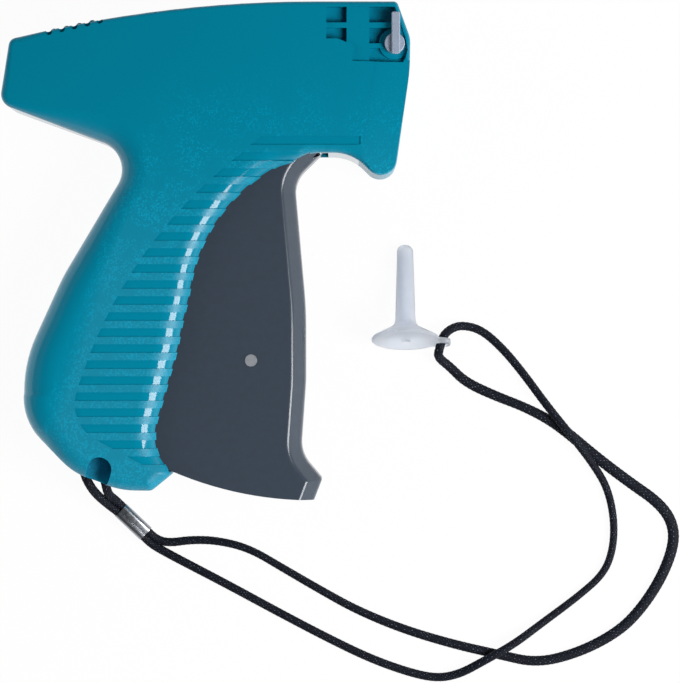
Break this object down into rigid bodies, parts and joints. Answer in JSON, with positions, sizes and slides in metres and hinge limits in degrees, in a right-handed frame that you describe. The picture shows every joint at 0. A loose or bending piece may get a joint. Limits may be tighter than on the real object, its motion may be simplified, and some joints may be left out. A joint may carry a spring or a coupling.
{
  "type": "garment tag attacher",
  "caption": "Pistol-grip garment tag attacher: two-part ribbed housing, swinging trigger with hidden ejector linkage, needle lock lever, and a needle cap tethered by a cord.",
  "frame": {"origin": "on the surface that the tool lies on, under the centre of the tool's own box, with the cord and needle cap left out", "axes": "+X is the way the needle points (muzzle), +Y the top of the tool, +Z out of its right side; the tool lies on its left side at Z = 0"},
  "size_m": [0.2031, 0.204, 0.0303],
  "materials": {
    "teal_plastic": "semi-gloss moulded, lightly speckled",
    "slate_plastic": "satin moulded",
    "pale_plastic": "satin moulded",
    "milky_plastic": "translucent, soft",
    "nylon": "natural nylon",
    "cast_alloy": "as cast",
    "steel": "ground",
    "spring_steel": "drawn wire",
    "zinc_steel": "zinc plated",
    "ferrule_metal": "bright",
    "cord": "braided"
  },
  "bodies": {
    "housing": {"housing_right": "teal_plastic", "housing_left": "teal_plastic", "trigger_pivot_pin": "steel", "trigger_spring": "spring_steel", "lever_pivot_pin": "steel", "lever_bracket": "zinc_steel", "needle_seat": "nylon", "knife_blade": "steel", "clip_guide": "nylon", "feed_wheel_axle": "steel", "detent_spring": "spring_steel", "lanyard_post": "steel", "housing_screws": "zinc_steel", "needle_cap": "milky_plastic", "cord_ferrule": "ferrule_metal", "lanyard_cord": "cord", "lanyard_heel_loop": "cord"},
    "trigger_body": {"trigger": "slate_plastic", "trigger_link_pin": "steel"},
    "lever_body": {"drive_lever": "cast_alloy"},
    "slide_body": {"ejector_slide": "nylon", "slide_drive_pin": "steel", "ejector_rod": "spring_steel"},
    "lock_body": {"needle_lock_lever": "pale_plastic"},
    "wheel_body": {"feed_wheel": "nylon"},
    "pawl_body": {"feed_pawl": "nylon"}
  },
  "joints": [
    {"name": "trigger_swing", "type": "hinge", "parent": "housing", "child": "trigger_body", "pos_m": [0.03185, 0.03163, 0.014], "axis": [0, 0, -1], "range_deg": [0, 20], "stiffness_Nm_per_rad": 1.2, "springref_deg": -14.32, "deforming": ["trigger_spring"]},
    {"name": "lever_swing", "type": "hinge", "parent": "housing", "child": "lever_body", "pos_m": [-0.0015, -0.0015, 0.014], "axis": [0, 0, -1], "range_deg": [0, 41.6]},
    {"name": "slide_travel", "type": "slide", "parent": "housing", "child": "slide_body", "axis": [1, 0, 0], "range_m": [0, 0.0465]},
    {"name": "pawl_lift", "type": "hinge", "parent": "housing", "child": "pawl_body", "pos_m": [0.0457, 0.059, 0.0236], "axis": [-1, 0, 0], "range_deg": [0, 15]},
    {"name": "wheel_turn", "type": "hinge", "parent": "housing", "child": "wheel_body", "pos_m": [0.0457, 0.0645, 0.0203], "axis": [1, 0, 0], "continuous": true, "deforming": ["detent_spring"]},
    {"name": "lock_turn", "type": "hinge", "parent": "housing", "child": "lock_body", "pos_m": [0.0561, 0.06135, 0.028], "axis": [0, 0, 1], "range_deg": [0, 90]}
  ],
  "couplings": [
    {"joint": "lever_swing", "follows": "trigger_swing", "ratio": 2.0723},
    {"joint": "slide_travel", "follows": "trigger_swing", "m_per_rad": 0.13278},
    {"joint": "pawl_lift", "follows": "trigger_swing", "ratio": 0.7}
  ]
}
